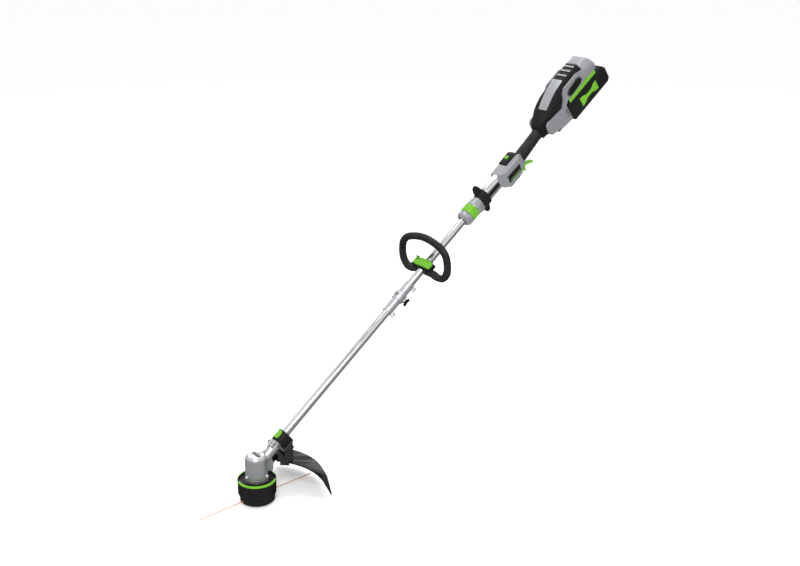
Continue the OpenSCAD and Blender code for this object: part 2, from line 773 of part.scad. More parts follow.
module housing_shell() {
    difference() {
        intersection() {
            sideways(-40, 40) housing_side();
            along(1200, 1400) housing_across();
            upwards(-60, 40) housing_plan();
        }
        intersection() {
            sideways(-40, 40) polygon([
                [1252, -24], [1252, 18], [1344, 22], [1356, 10], [1356, -21], [1336, -27], [1316, -50],
                [1277, -51], [1254, -32]
            ]);
            along(1200, 1400) housing_across(3);
            upwards(-60, 40) housing_plan(2.5);
        }
        along(1200, oval_u1 + 2) oval();
        grip_rod(grip_core_r + 0.1, grip_core_r + 0.1, -2, 40);
        translate([1322, 0, 13]) cylinder(r = 9, h = 20);
        block(1330, 1366, -8, 8, -60, -20);
        cross(3 + run, -26, 26, trigger_u, trigger_up);
        for (p = screw_spots) {
            cross(1.5, -40, 12, p[0], p[1]);
            cross(2.7, -40, -26.6, p[0], p[1]);
        }
    }
    difference() {
        for (s = [-1, 1]) cross(6, s * 17.5 - 8.5, s * 17.5 + 8.5, trigger_u, trigger_up);
        cross(3 + run, -27, 27, trigger_u, trigger_up);
    }
    difference() {
        for (p = screw_spots) cross(4, -housing_half + 2.5, housing_half - 2.5, p[0], p[1]);
        for (p = screw_spots) cross(1.5, -housing_half, 12, p[0], p[1]);
    }
}

module trigger_housing_left() color(grey) shaft() intersection() {
    housing_shell();
    block(1200, 1400, 0, 60, -80, 60);
}

module trigger_housing_right() color(grey) shaft() intersection() {
    housing_shell();
    block(1200, 1400, -60, 0, -80, 60);
}

// Black cap over the top of the housing and its sloping shoulders
module trigger_top_cover() color(black) shaft() difference() {
    intersection() {
        sideways(-40, 40) polygon([
            [1289, 10], [1292, 25], [1298, 30.5], [1343, 30.5], [1358, 19], [1358, 10]
        ]);
        upwards(8, 44) polygon([
            [1289, -12], [1301, -25], [1340, -25], [1358, -14], [1358, 14], [1340, 25], [1301, 25], [1289, 12]
        ]);
        along(1280, 1360) polygon([[-40, 3], [-14, 30.5], [14, 30.5], [40, 3]]);
    }
    sideways(-40, 40) polygon([[1280, 0], [1280, 25.2], [1346.1, 25.2], [1362.3, 12.1], [1362.3, 0]]);
    translate([1322, 0, 20]) cylinder(r = 7 + run, h = 30);
}

module lock_button() color(green) shaft() translate([1322, 0, 19.5]) {
    cylinder(r = 7, h = 15);
    translate([0, 0, 0.3]) cylinder(r = 8.4, h = 1.8);
}

module badge_plates() color(black) shaft() {
    sideways(-housing_half - 1.6, -housing_half) polygon([[1272, -4], [1336, -6], [1331, -29], [1267, -29]]);
    for (s = [-1, 1]) sideways(s * 43.1 - 0.9, s * 43.1 + 0.9) badge_oval();
}

module trigger() color(green) shaft() {
    sideways(-7, 7) polygon([
        [1335, -36], [1336, -18], [1341, -18], [1350, -31], [1358, -36], [1366, -43], [1384, -49],
        [1402, -61], [1403, -66], [1398, -68], [1382, -58], [1368, -51], [1364, -54], [1361, -66],
        [1353, -66], [1350, -50], [1338, -41]
    ]);
    cross(3, -25, 25, trigger_u, trigger_up);
    cross(5.5, -7, 7, trigger_u, trigger_up);
}

module trigger_switch() color(black) shaft() {
    block(1292, 1326, -9, 9, -32, -14);
    block(1326, 1332.5, -3, 3, -24, -19);
}

grip_u0 = 1352;
grip_len = 132;
grip_rise = 4.3;
grip_core_r = 17;

// Cylinder along the grip's own axis, from a to b along it
module grip_rod(r_a, r_b, a, b) {
    translate([grip_u0, 0, -14]) rotate([0, -grip_rise, 0]) translate([a, 0, 0]) rotate([0, 90, 0]) {
        cylinder(r1 = r_a, r2 = r_b, h = b - a, $fn = 64);
    }
}

module grip() color(black) shaft() difference() {
    union() {
        grip_rod(grip_core_r, grip_core_r, 0, grip_len);
        grip_rod(21.5, 19, 12, 121);
    }
    grip_rod(13, 13, -1, grip_len + 1);
}

// ---------- battery head ----------

// Side outline of the black upper housing
module rear_side(in = 0) {
    polygon([
        [1476 + in, -24 + in], [1476 + in, 12 - in], [1486, 22 - in], [1500, 30 - in], [1540, 45 - in],
        [1580, 63 - in], [1610, 73 - in], [1650, rear_top - in], [1733 - in, rear_top - in],
        [1733 - in, dock_up + in], [1612, dock_up + in], [1602 - in, 8], [1602 - in, -44 + in],
        [1560, -39 + in], [1500, -23 + in]
    ]);
}

module rear_plan(in = 0) {
    h = rear_half - 4 - in;
    polygon([
        [1470, -18 + in], [1486, -21 + in], [1506, -29 + in], [1536, -h], [1740, -h], [1740, h], [1536, h],
        [1506, 29 - in], [1486, 21 - in], [1470, 18 - in]
    ]);
}

module rear_across(in = 0) {
    h = rear_half - 4 - in;
    polygon([
        [-h, -60], [-h, 52 - in], [-h + 3, 62 - in], [-22, rear_top + 1 - in], [22, rear_top + 1 - in],
        [h - 3, 62 - in], [h, 52 - in], [h, -60]
    ]);
}

module rear_form(in = 0) {
    intersection() {
        sideways(-60, 60) rear_side(in);
        upwards(-60, 100) rear_plan(in);
        along(1400, 1900) rear_across(in);
    }
}

rear_spots = [[1534, -10], [1590, -28]];
button_half = 31;

module rear_shell() {
    difference() {
        union() {
            difference() {
                rear_form();
                rear_form(3);
            }
            for (p = rear_spots) cross(4, -36, 36, p[0], p[1]);
        }
        for (p = rear_spots) cross(1.5, -60, 12, p[0], p[1]);
        grip_rod(grip_core_r + 0.1, grip_core_r + 0.1, 100, grip_len + 0.5);
        block(1538, 1570, -button_half, button_half, -60, -30);
        block(1612, 1640, -16, 16, 10, 30);
    }
}

module rear_housing_left() color(black) shaft() intersection() {
    rear_shell();
    block(1400, 1800, 0, 60, -80, 100);
}

module rear_housing_right() color(black) shaft() intersection() {
    rear_shell();
    block(1400, 1800, -60, 0, -80, 100);
}

// Outline of each oval badge on the rear head's sides
module badge_oval() {
    polygon([
        [1636, 25], [1648, 22.5], [1700, 27], [1711, 34], [1713, 43], [1705, 54], [1692, 57], [1642, 51],
        [1630, 43], [1630, 33]
    ]);
}

// Side outline of each grey cheek: boot, arm, badge surround and the web to the cap
module cheek() {
    polygon([
        [1494, 18], [1504, 25], [1584, 17], [1606, 40], [1612, 57], [1627, 70], [1698, 72], [1716, 66],
        [1733, 62], [1733, 24], [1700, dock_up], [1618, dock_up], [1606, 10], [1606, -48], [1557, -42],
        [1522, -30], [1500, -24], [1490, -6]
    ]);
}

module rear_frame() color(grey) shaft() difference() {
    union() {
        for (s = [-1, 1]) sideways(s * 40.1 - 2.1, s * 40.1 + 2.1) cheek();
        intersection() {
            sideways(-60, 60) polygon([
                [1733, 10], [1733, 74], [1742, 79], [1768, 77], [1780, 68], [1788, 40], [1788, 26], [1780, 10]
            ]);
            along(1700, 1800) polygon([
                [-42.2, 8], [-42.2, 46], [-39, 60], [-31, 71], [-20, 78], [20, 78], [31, 71], [39, 60],
                [42.2, 46], [42.2, 8]
            ]);
        }
        sideways(-42.2, 42.2) polygon([
            [1500, -26.5], [1522, -32.5], [1557, -44.5], [1606, -50.5], [1606, -45], [1560, -39.6],
            [1500, -23.6]
        ]);
    }
    block(1737, 1775, -34, 34, dock_up + 2, 62);
    block(1700, 1800, -38, 38, 0, dock_up);
    for (s = [-1, 1]) block(1700, 1800, s * 41 - 3.5, s * 41 + 3.5, 0, dock_up);
    block(1538, 1570, -button_half, button_half, -60, -30);
    for (p = rear_spots) {
        cross(1.5, -60, 0, p[0], p[1]);
        cross(2.7, -60, -40.4, p[0], p[1]);
    }
}

module top_panel() color(grey) shaft() {
    intersection() {
        sideways(-22, 22) polygon([
            [1540, 45], [1580, 63], [1610, 73], [1650, rear_top], [1652, rear_top + 2], [1608, 75],
            [1578, 65], [1538, 47]
        ]);
        upwards(0, 100) polygon([[1536, -17], [1544, -19], [1656, -23], [1656, 23], [1544, 19], [1536, 17]]);
    }
    for (u = [1672, 1695, 1716]) block(u, u + 7, -21, 21, rear_top, rear_top + 1.2);
}

module terminal_block() color(black) shaft() {
    block(1613, 1638, -15, 15, dock_up - 8, dock_up + 8);
    for (y = [-9, -3, 3, 9]) block(1638, 1650, y - 0.6, y + 0.6, dock_up - 6, dock_up - 1);
}

module controller() color(green) shaft() {
    block(1645, 1725, -30, 30, 40, 42);
    block(1650, 1700, -25, 25, 42, 60);
    for (y = [-20, 20]) rod(6, 1705, 1722, y, 49);
}

// ---------- battery ----------

module pack_across(in = 0) {
    h = rear_half - in;
    polygon([
        [-h, pack_low + 7], [-h, pack_shoulder - 4], [-h + 4, pack_shoulder - in],
        [h - 4, pack_shoulder - in],
        [h, pack_shoulder - 4], [h, pack_low + 7], [h - 8, pack_low + in], [8 - h, pack_low + in]
    ]);
}

module battery_case() color(black) shaft() difference() {
    union() {
        intersection() {
            along(pack_u0, pack_u1) pack_across();
            sideways(-60, 60) polygon([
                [pack_u0, -54], [pack_u0 + 12, pack_low], [pack_u1 - 18, pack_low], [pack_u1, -56],
                [pack_u1, -12], [pack_u1 - 12, pack_shoulder], [pack_u0 + 10, pack_shoulder],
                [pack_u0, pack_shoulder - 8]
            ]);
        }
        block(1627, 1778, -36, 36, pack_shoulder - 1, dock_up - gap);
    }
    block(1600, 1662, -16.5, 16.5, dock_up - 10, 40);
    block(pack_u0 + 6, pack_u1 - 22, -36, 36, pack_low + 14, -8);
    for (s = [-1, 1]) sideways(s * 42 - 1, s * 42 + 1) inlay();
}

// Waisted green inlay on each side of the battery
module inlay() {
    polygon([
        [1668, -52], [1683, -50], [1702, -41], [1728, -41], [1747, -50], [1762, -52], [1762, -16],
        [1747, -18], [1728, -27], [1702, -27], [1683, -18], [1668, -16]
    ]);
}

module battery_trim() color(green) shaft() for (s = [-1, 1]) {
    sideways(s * 39 - 3, s * 39 + 3) polygon([
        [1627, pack_shoulder], [1778, pack_shoulder], [1776, dock_up - 3], [1772, dock_up - gap],
        [1632, dock_up - gap], [1627, dock_up - 4]
    ]);
    sideways(s * 41.6 - 0.6, s * 41.6 + 0.6) inlay();
}

cell_r = 10.5;

module battery_cells() color(steel) shaft() for (i = [0 : 7], z = [0, 1]) {
    cross(cell_r, -35, 35, 1627 + i * 21.5, -41 + z * 21.5);
}

module battery_button() color(black) shaft() {
    block(1539, 1569, 1 - button_half, button_half - 1, -54, -46);
    block(1545, 1563, -12, 12, -46, -36);
}

module housing_screws() color(steel) shaft() {
    for (p = screw_spots) {
        cross(2.6, -27.8, -26.6, p[0], p[1]);
        cross(1.45, -26.6, 10, p[0], p[1]);
    }
    for (p = rear_spots) {
        cross(2.6, -41.6, -40.4, p[0], p[1]);
        cross(1.45, -40.4, 10, p[0], p[1]);
    }
}

head_housing();
arrow_ring();
spool_cover();
line_eyelets();
cutting_line();
motor_spindle();
spindle_nut();
rotor();
spool();
line_winding();
bump_spring();
bump_knob();
motor_housing();
motor_base();
stator();
motor_bearings();
motor_screws();
lower_tube();
guard_bracket();
bracket_cap();
guard_plate();
guard();
guard_screws();
line_blade();
lower_plug();
upper_tube();
coupler_body();
coupler_bolts();
upper_socket();
release_button();
wing_knob();
loop_handle();
handle_clamp_cap();
clamp_lever();
collar_cap();
lock_ring();
collar_sleeve();
collet();
strap_hanger();
outer_tube();
side_inserts();
trigger_housing_left();
trigger_housing_right();
trigger_top_cover();
badge_plates();
trigger();
lock_button();
trigger_switch();
grip();
rear_housing_left();
rear_housing_right();
rear_frame();
top_panel();
terminal_block();
controller();
battery_case();
battery_trim();
battery_cells();
battery_button();
housing_screws();
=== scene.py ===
"""The looks of a battery string trimmer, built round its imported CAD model."""

import json
import math

import bmesh
import bpy
from mathutils import Matrix, Vector

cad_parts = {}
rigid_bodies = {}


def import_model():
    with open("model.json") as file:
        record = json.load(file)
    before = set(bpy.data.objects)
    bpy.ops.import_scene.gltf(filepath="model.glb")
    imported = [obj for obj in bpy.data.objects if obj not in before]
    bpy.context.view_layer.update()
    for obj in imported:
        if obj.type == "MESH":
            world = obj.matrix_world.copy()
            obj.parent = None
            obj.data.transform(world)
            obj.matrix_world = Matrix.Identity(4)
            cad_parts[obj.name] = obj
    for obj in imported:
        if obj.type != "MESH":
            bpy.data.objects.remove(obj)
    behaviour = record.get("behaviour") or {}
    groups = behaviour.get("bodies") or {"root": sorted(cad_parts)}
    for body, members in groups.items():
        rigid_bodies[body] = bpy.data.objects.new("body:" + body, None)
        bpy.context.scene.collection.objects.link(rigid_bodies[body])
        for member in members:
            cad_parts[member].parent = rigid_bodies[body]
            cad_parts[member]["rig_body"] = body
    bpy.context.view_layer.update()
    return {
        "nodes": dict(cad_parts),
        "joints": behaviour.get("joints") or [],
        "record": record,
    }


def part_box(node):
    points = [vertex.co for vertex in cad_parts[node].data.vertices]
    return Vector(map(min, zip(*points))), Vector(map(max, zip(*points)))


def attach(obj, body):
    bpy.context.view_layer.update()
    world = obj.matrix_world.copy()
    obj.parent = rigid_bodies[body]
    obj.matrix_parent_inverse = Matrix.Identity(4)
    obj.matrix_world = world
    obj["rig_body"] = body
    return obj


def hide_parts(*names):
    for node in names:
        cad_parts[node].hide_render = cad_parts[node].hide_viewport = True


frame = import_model()
joints = {j["name"]: j for j in frame["joints"]}
MM = 0.001
WELD = 2e-6
FLAT_ANGLE = 1.5
ROW_WELD = 0.002

# ---------- frames ----------

ALONG = Vector(joints["telescope_slide"]["axis"])
UP = Vector((-ALONG.z, 0, ALONG.x))
SIDE = Vector((0, 1, 0))
SPIN = Vector(joints["head_spin"]["pos_m"])
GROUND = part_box("bump_knob")[0].z


def placed(origin, x, y, z):
    """Matrix from millimetres in a frame with these axes to metres in the row frame."""
    turn = Matrix((x, y, z)).transposed().to_4x4()
    return Matrix.Translation(origin) @ turn @ Matrix.Scale(MM, 4)


HEAD = placed(Vector((SPIN.x, 0, GROUND)), Vector((1, 0, 0)), SIDE, Vector((0, 0, 1)))
ring_centre = Vector(joints["lock_ring_turn"]["pos_m"])
start = ring_centre - ALONG * ((ring_centre.x - SPIN.x) / ALONG.x)
SHAFT = placed(start, ALONG, SIDE, UP)


def span(node, direction=ALONG, origin=start):
    """Least and greatest reach of a CAD node along a direction, in millimetres."""
    reach = [(v.co - origin).dot(direction) / MM for v in frame["nodes"][node].data.vertices]
    return min(reach), max(reach)


# ---------- camera, light and floor ----------


LENS = 50
SENSOR = 36
CAMERA_AT = (-1571.3, -2615.8, 1818.8)
CAMERA_YAW = 50.67
CAMERA_PITCH = -20.05


def make_camera():
    """Stands left of and above the cutting head, which CAMERA_AT is measured from."""
    data = bpy.data.cameras.new("camera")
    data.lens = LENS
    data.sensor_width = SENSOR
    camera = bpy.data.objects.new("camera", data)
    bpy.context.scene.collection.objects.link(camera)
    yaw, pitch = math.radians(CAMERA_YAW), math.radians(CAMERA_PITCH)
    camera.location = HEAD @ Vector(CAMERA_AT)
    camera.rotation_euler = (math.pi / 2 + pitch, 0, yaw - math.pi / 2)
    bpy.context.scene.camera = camera


def area_light(name, place, target, size, power, colour=(1, 1, 1)):
    data = bpy.data.lights.new(name, "AREA")
    data.shape = "RECTANGLE"
    data.size, data.size_y = size
    data.energy = power
    data.color = colour
    light = bpy.data.objects.new(name, data)
    light.location = place
    aim = Vector(target) - Vector(place)
    light.rotation_euler = aim.to_track_quat("-Z", "Y").to_euler()
    bpy.context.scene.collection.objects.link(light)


WORLD_LIGHT = 0.72
SKY = [
    (0.0, 0.1), (0.08, 0.12), (0.2, 0.95), (0.5, 1.15), (0.8, 1.1), (0.86, 0.45), (0.93, 0.45), (0.98, 1.1),
]


def make_world():
    """A white tent with two darker bands, for the metal to mirror. SKY pairs a height with a level."""
    world = bpy.data.worlds.new("studio")
    world.use_nodes = True
    nodes, links = world.node_tree.nodes, world.node_tree.links
    place = nodes.new("ShaderNodeTexCoord")
    split = nodes.new("ShaderNodeSeparateXYZ")
    links.new(place.outputs["Generated"], split.inputs["Vector"])
    ramp = nodes.new("ShaderNodeValToRGB")
    links.new(split.outputs["Z"], ramp.inputs["Fac"])
    stops = ramp.color_ramp.elements
    stops.remove(stops[1])
    for where, level in SKY:
        stop = stops[0] if where == 0 else stops.new(where)
        stop.color = (level, level, level, 1)
    links.new(ramp.outputs["Color"], nodes["Background"].inputs["Color"])
    nodes["Background"].inputs["Strength"].default_value = WORLD_LIGHT
    bpy.context.scene.world = world


def ground(name, lift, level, glow=0.0):
    bm = bmesh.new()
    bmesh.ops.create_grid(bm, x_segments=2, y_segments=2, size=40)
    mesh = bpy.data.meshes.new(name)
    bm.to_mesh(mesh)
    sheet = bpy.data.objects.new(name, mesh)
    sheet.location = (0, 0, GROUND - lift)
    bpy.context.scene.collection.objects.link(sheet)
    paper = bpy.data.materials.new(name)
    paper.use_nodes = True
    shader = paper.node_tree.nodes["Principled BSDF"]
    shader.inputs["Base Color"].default_value = (level, level, level, 1)
    shader.inputs["Roughness"].default_value = 0.9
    shader.inputs["Emission Color"].default_value = (1, 1, 1, 1)
    shader.inputs["Emission Strength"].default_value = glow
    mesh.materials.append(paper)
    return sheet


def make_studio():
    bpy.context.scene.view_settings.view_transform = "Standard"
    make_world()
    area_light("key", (-2.6, -2.2, 2.6), (-0.2, 0, -0.2), (1.6, 1.2), 60)
    area_light("top", (0.2, 0.4, 3.0), (0, 0, -0.2), (2.4, 1.6), 40)
    area_light("rim", (1.4, 2.6, 1.2), (0, 0, 0), (1.2, 1.6), 15)
    ground("floor", 0.0008, 0.96, 0.34)
    flag = ground("dark_card", 0.0004, 0.2)
    flag.visible_camera = False
    flag.visible_diffuse = False
    flag.visible_shadow = False
    flag.visible_transmission = False


make_camera()
make_studio()

# ---------- materials ----------


class Shader:
    """A Principled material with a few short ways to add procedural detail."""

    def __init__(self, name, colour, roughness, metallic=0.0, coat=0.0, specular=0.5):
        self.material = bpy.data.materials.new(name)
        self.material.use_nodes = True
        self.tree = self.material.node_tree
        self.main = self.tree.nodes["Principled BSDF"]
        self.main.inputs["Base Color"].default_value = (*colour, 1)
        self.main.inputs["Roughness"].default_value = roughness
        self.main.inputs["Metallic"].default_value = metallic
        self.main.inputs["Coat Weight"].default_value = coat
        self.main.inputs["Specular IOR Level"].default_value = specular
        self.colour = colour
        self.roughness = roughness
        self.place = self.node("ShaderNodeTexCoord").outputs["Object"]
        self.heights = []

    def node(self, kind, **settings):
        made = self.tree.nodes.new(kind)
        for key, value in settings.items():
            setattr(made, key, value)
        return made

    def link(self, source, target):
        self.tree.links.new(source, target)

    def noise(self, scale, detail=3.0, stretch=None, rough=0.55):
        """Noise in metres, stretched by rotating the shaft's direction onto X where asked."""
        made = self.node("ShaderNodeTexNoise")
        made.inputs["Scale"].default_value = scale
        made.inputs["Detail"].default_value = detail
        made.inputs["Roughness"].default_value = rough
        source = self.place
        if stretch:
            turn = self.node("ShaderNodeVectorRotate", rotation_type="Y_AXIS")
            turn.inputs["Angle"].default_value = math.asin(ALONG.z)
            self.link(source, turn.inputs["Vector"])
            flat = self.node("ShaderNodeMapping")
            flat.inputs["Scale"].default_value = stretch
            self.link(turn.outputs["Vector"], flat.inputs["Vector"])
            source = flat.outputs["Vector"]
        self.link(source, made.inputs["Vector"])
        return made.outputs["Fac"]

    def ranged(self, source, low, high, start_at=0.3, end_at=0.7):
        made = self.node("ShaderNodeMapRange")
        made.inputs["From Min"].default_value = start_at
        made.inputs["From Max"].default_value = end_at
        made.inputs["To Min"].default_value = low
        made.inputs["To Max"].default_value = high
        self.link(source, made.inputs["Value"])
        return made.outputs["Result"]

    def mottle(self, source, other, share=1.0):
        """Base colour drifts towards another colour with the noise."""
        mix = self.node("ShaderNodeMix", data_type="RGBA")
        mix.inputs["A"].default_value = (*self.colour, 1)
        mix.inputs["B"].default_value = (*other, 1)
        self.link(self.ranged(source, 0, share), mix.inputs["Factor"])
        self.link(mix.outputs["Result"], self.main.inputs["Base Color"])

    def gloss(self, source, low, high):
        self.link(self.ranged(source, low, high), self.main.inputs["Roughness"])

    def bump(self, source, depth, strength=1.0):
        """Adds a height in metres to the surface normal."""
        made = self.node("ShaderNodeBump")
        made.inputs["Distance"].default_value = depth
        made.inputs["Strength"].default_value = strength
        self.link(source, made.inputs["Height"])
        if self.heights:
            self.link(self.heights[-1], made.inputs["Normal"])
        self.heights.append(made.outputs["Normal"])
        self.link(self.heights[-1], self.main.inputs["Normal"])


def moulded(name, colour, worn, roughness, grain=900, depth=0.00006, specular=0.5):
    """Moulded plastic: fine spark-eroded grain, faint flow marks and dusty, worn patches."""
    s = Shader(name, colour, roughness, specular=specular)
    s.mottle(s.noise(9, 4), worn, 0.6)
    s.gloss(s.noise(28, 4), roughness - 0.07, roughness + 0.09)
    s.bump(s.noise(grain, 2), depth)
    s.bump(s.noise(60, 2), 0.00012, 0.35)
    return s.material


def painted(name, colour, dark, roughness):
    """Silver paint over plastic: fine metal flake, a soft coat and faint orange peel."""
    s = Shader(name, colour, roughness, metallic=0.4, coat=0.25)
    s.main.inputs["Coat Roughness"].default_value = 0.25
    s.mottle(s.noise(2600, 2), dark, 0.55)
    s.gloss(s.noise(40, 3), roughness - 0.06, roughness + 0.08)
    s.bump(s.noise(700, 2), 0.00003)
    return s.material


def drawn_metal(name, colour, dark, roughness, stretch=(0.02, 1, 1)):
    """Drawn or brushed metal: long fine streaks along the shaft."""
    s = Shader(name, colour, roughness, metallic=1.0)
    streaks = s.noise(1500, 3, stretch=stretch)
    s.mottle(streaks, dark, 0.35)
    s.gloss(s.noise(35, 4), roughness - 0.06, roughness + 0.10)
    s.bump(streaks, 0.00003)
    return s.material


def cast_metal(name, colour, dark, roughness):
    """Blasted and painted casting: pitted grain with darker hollows."""
    s = Shader(name, colour, roughness, metallic=0.85)
    s.mottle(s.noise(500, 4), dark, 0.5)
    s.gloss(s.noise(60, 4), roughness - 0.06, roughness + 0.12)
    s.bump(s.noise(1100, 3), 0.00009)
    s.bump(s.noise(120, 3), 0.0002, 0.3)
    return s.material


def rubber(name, colour, worn):
    """Soft rubber: matt, dimpled, a little dusty."""
    s = Shader(name, colour, 0.62, specular=0.35)
    s.mottle(s.noise(14, 4), worn, 0.7)
    s.gloss(s.noise(40, 3), 0.5, 0.72)
    dimples = s.node("ShaderNodeTexVoronoi")
    dimples.inputs["Scale"].default_value = 700
    s.link(s.place, dimples.inputs["Vector"])
    s.bump(dimples.outputs["Distance"], 0.00012)
    return s.material


def nylon_line(name, colour, dark):
    s = Shader(name, colour, 0.32, coat=0.2)
    s.mottle(s.noise(160, 3), dark, 0.5)
    s.bump(s.noise(900, 2), 0.00005)
    return s.material


def windings(name):
    """Copper wire between dark laminations."""
    s = Shader(name, (0.42, 0.2, 0.08), 0.4, metallic=0.8)
    s.mottle(s.noise(500, 2), (0.1, 0.06, 0.04), 0.8)
    s.bump(s.noise(900, 2), 0.0002)
    return s.material


def board(name):
    s = Shader(name, (0.02, 0.14, 0.06), 0.35, coat=0.4)
    s.mottle(s.noise(700, 1), (0.05, 0.22, 0.1), 0.8)
    s.bump(s.noise(900, 1), 0.0001)
    return s.material


MATERIALS = {
    "black_plastic": moulded(
        "black_plastic", (0.011, 0.011, 0.0115), (0.022, 0.022, 0.022), 0.46, specular=0.14
    ),
    "satin_black": moulded("satin_black", (0.006, 0.006, 0.0065), (0.013, 0.013, 0.0135), 0.3, specular=0.35),
    "green_plastic": moulded("green_plastic", (0.16, 0.5, 0.015), (0.22, 0.6, 0.03), 0.34, specular=0.4),
    "silver_plastic": painted("silver_plastic", (0.4, 0.41, 0.43), (0.31, 0.32, 0.345), 0.36),
    "tube_aluminium": drawn_metal("tube_aluminium", (0.9, 0.905, 0.92), (0.74, 0.75, 0.77), 0.15),
    "cast_aluminium": cast_metal("cast_aluminium", (0.7, 0.71, 0.73), (0.55, 0.56, 0.58), 0.32),
    "steel": drawn_metal("steel", (0.42, 0.42, 0.44), (0.28, 0.28, 0.3), 0.3, (1, 1, 1)),
    "rubber_grip": rubber("rubber_grip", (0.009, 0.009, 0.0095), (0.02, 0.02, 0.02)),
    "line_nylon": nylon_line("line_nylon", (0.72, 0.2, 0.02), (0.82, 0.28, 0.05)),
    "stator_steel": windings("stator_steel"),
    "circuit_board": board("circuit_board"),
    "cell_can": drawn_metal("cell_can", (0.2, 0.32, 0.4), (0.12, 0.22, 0.3), 0.35, (1, 1, 1)),
}

# ---------- carried-over CAD nodes ----------

slots = {part["node"]: part["material_slot"] for part in frame["record"]["subparts"]}

for name, shown in frame["nodes"].items():
    shown.data.materials.clear()
    shown.data.materials.append(MATERIALS[slots[name]])

# ---------- mesh building ----------


def fillet(points, radius, steps=4, closed=True):
    """A flat outline with each corner rounded. A point may carry its own radius as a third number."""
    count = len(points)
    rounded = []
    for i, point in enumerate(points):
        corner = Vector(point[:2])
        r = point[2] if len(point) > 2 else radius
        if r <= 0 or (not closed and i in (0, count - 1)):
            rounded.append(tuple(corner))
            continue
        before = Vector(points[i - 1][:2]) - corner
        after = Vector(points[(i + 1) % count][:2]) - corner
        half = before.angle(after) / 2
        reach = min(r / max(math.tan(half), 1e-3), before.length * 0.48, after.length * 0.48)
        a, b = corner + before.normalized() * reach, corner + after.normalized() * reach
        for k in range(steps + 1):
            t = k / steps
            rounded.append(tuple(a * (1 - t) ** 2 + corner * 2 * t * (1 - t) + b * t * t))
    return rounded


def rings_to_mesh(bm, rings, cap_first=True, cap_last=True, wrap=False):
    """Joins rings of points, each a closed loop of the same length."""
    loops = [[bm.verts.new(p) for p in ring] for ring in rings]
    size = len(loops[0])
    pairs = list(zip(loops, loops[1:])) + ([(loops[-1], loops[0])] if wrap else [])
    for one, other in pairs:
        for j in range(size):
            k = (j + 1) % size
            bm.faces.new((one[j], one[k], other[k], other[j]))
    if cap_first and not wrap:
        bm.faces.new(list(reversed(loops[0])))
    if cap_last and not wrap:
        bm.faces.new(loops[-1])
    return loops


def lathe(profile, segments=96, about="z", arc=None):
    """Turns a closed outline of (radius, height) about an axis, through a full turn or an arc in degrees."""
    bm = bmesh.new()
    low, high = arc or (0, 360)
    full = high - low >= 360
    count = max(3, round(segments * (high - low) / 360))
    rings = []
    for i in range(count if full else count + 1):
        a = math.radians(low + (high - low) * i / count)
        c, s = math.cos(a), math.sin(a)
        rings.append([(h, r * c, r * s) if about == "x" else (r * c, r * s, h) for r, h in profile])
    rings_to_mesh(bm, rings, wrap=full)
    clean(bm)
    return bm


def clean(bm):
    bmesh.ops.remove_doubles(bm, verts=bm.verts, dist=ROW_WELD)
    bmesh.ops.recalc_face_normals(bm, faces=bm.faces)


PLANES = {
    "side": lambda a, b, c: (a, c, b),
    "across": lambda a, b, c: (c, a, b),
    "plan": lambda a, b, c: (a, b, c),
}


def extrude(outline, low, high, plane="side", bevel=0.0, segments=2):
    """Pushes a flat outline from low to high, square to its plane, and rounds its rims."""
    bm = bmesh.new()
    rings_to_mesh(bm, [[PLANES[plane](a, b, c) for a, b in outline] for c in (low, high)])
    bmesh.ops.recalc_face_normals(bm, faces=bm.faces)
    if bevel:
        round_edges(bm, bevel, segments)
    return bm


def round_edges(bm, width, segments=2, angle=38):
    sharp = [
        e for e in bm.edges
        if len(e.link_faces) == 2 and e.calc_face_angle(0) > math.radians(angle)
    ]
    bmesh.ops.bevel(
        bm, geom=sharp, offset=width, offset_type="OFFSET", segments=segments,
        profile=0.5, affect="EDGES", clamp_overlap=True,
    )


def brick(u0, u1, y0, y1, z0, z1, bevel=0.6):
    return extrude([(u0, z0), (u1, z0), (u1, z1), (u0, z1)], y0, y1, "side", bevel)


def turned(bm, degrees, axis="Z", centre=(0, 0, 0)):
    bmesh.ops.rotate(
        bm, cent=centre, matrix=Matrix.Rotation(math.radians(degrees), 3, axis), verts=bm.verts
    )
    return bm


def moved(bm, offset):
    bmesh.ops.translate(bm, vec=offset, verts=bm.verts)
    return bm


def joined(parts):
    """One bmesh holding several, without welding them."""
    whole = bmesh.new()
    for part in parts:
        mesh = bpy.data.meshes.new("part")
        part.to_mesh(mesh)
        part.free()
        whole.from_mesh(mesh)
        bpy.data.meshes.remove(mesh)
    return whole


def as_object(name, bm, space):
    mesh = bpy.data.meshes.new(name)
    bm.to_mesh(mesh)
    bm.free()
    mesh.transform(space)
    made = bpy.data.objects.new(name, mesh)
    bpy.context.scene.collection.objects.link(made)
    return made


def apply_modifiers(made):
    graph = bpy.context.evaluated_depsgraph_get()
    mesh = bpy.data.meshes.new_from_object(made.evaluated_get(graph))
    old = made.data
    made.modifiers.clear()
    made.data = mesh
    bpy.data.meshes.remove(old)


def carve(made, cutters, space, operation="DIFFERENCE"):
    """Cuts each bmesh out of a piece, or joins it on."""
    tools = [as_object("cutter", bm, space) for bm in cutters]
    for tool in tools:
        cut = made.modifiers.new("cut", "BOOLEAN")
        cut.object = tool
        cut.operation = operation
        cut.solver = "EXACT"
    apply_modifiers(made)
    for tool in tools:
        bpy.data.meshes.remove(tool.data)


def soften(made, width, segments=2, angle=32):
    rounding = made.modifiers.new("rounding", "BEVEL")
    rounding.width = width * MM
    rounding.segments = segments
    rounding.limit_method = "ANGLE"
    rounding.angle_limit = math.radians(angle)
    apply_modifiers(made)


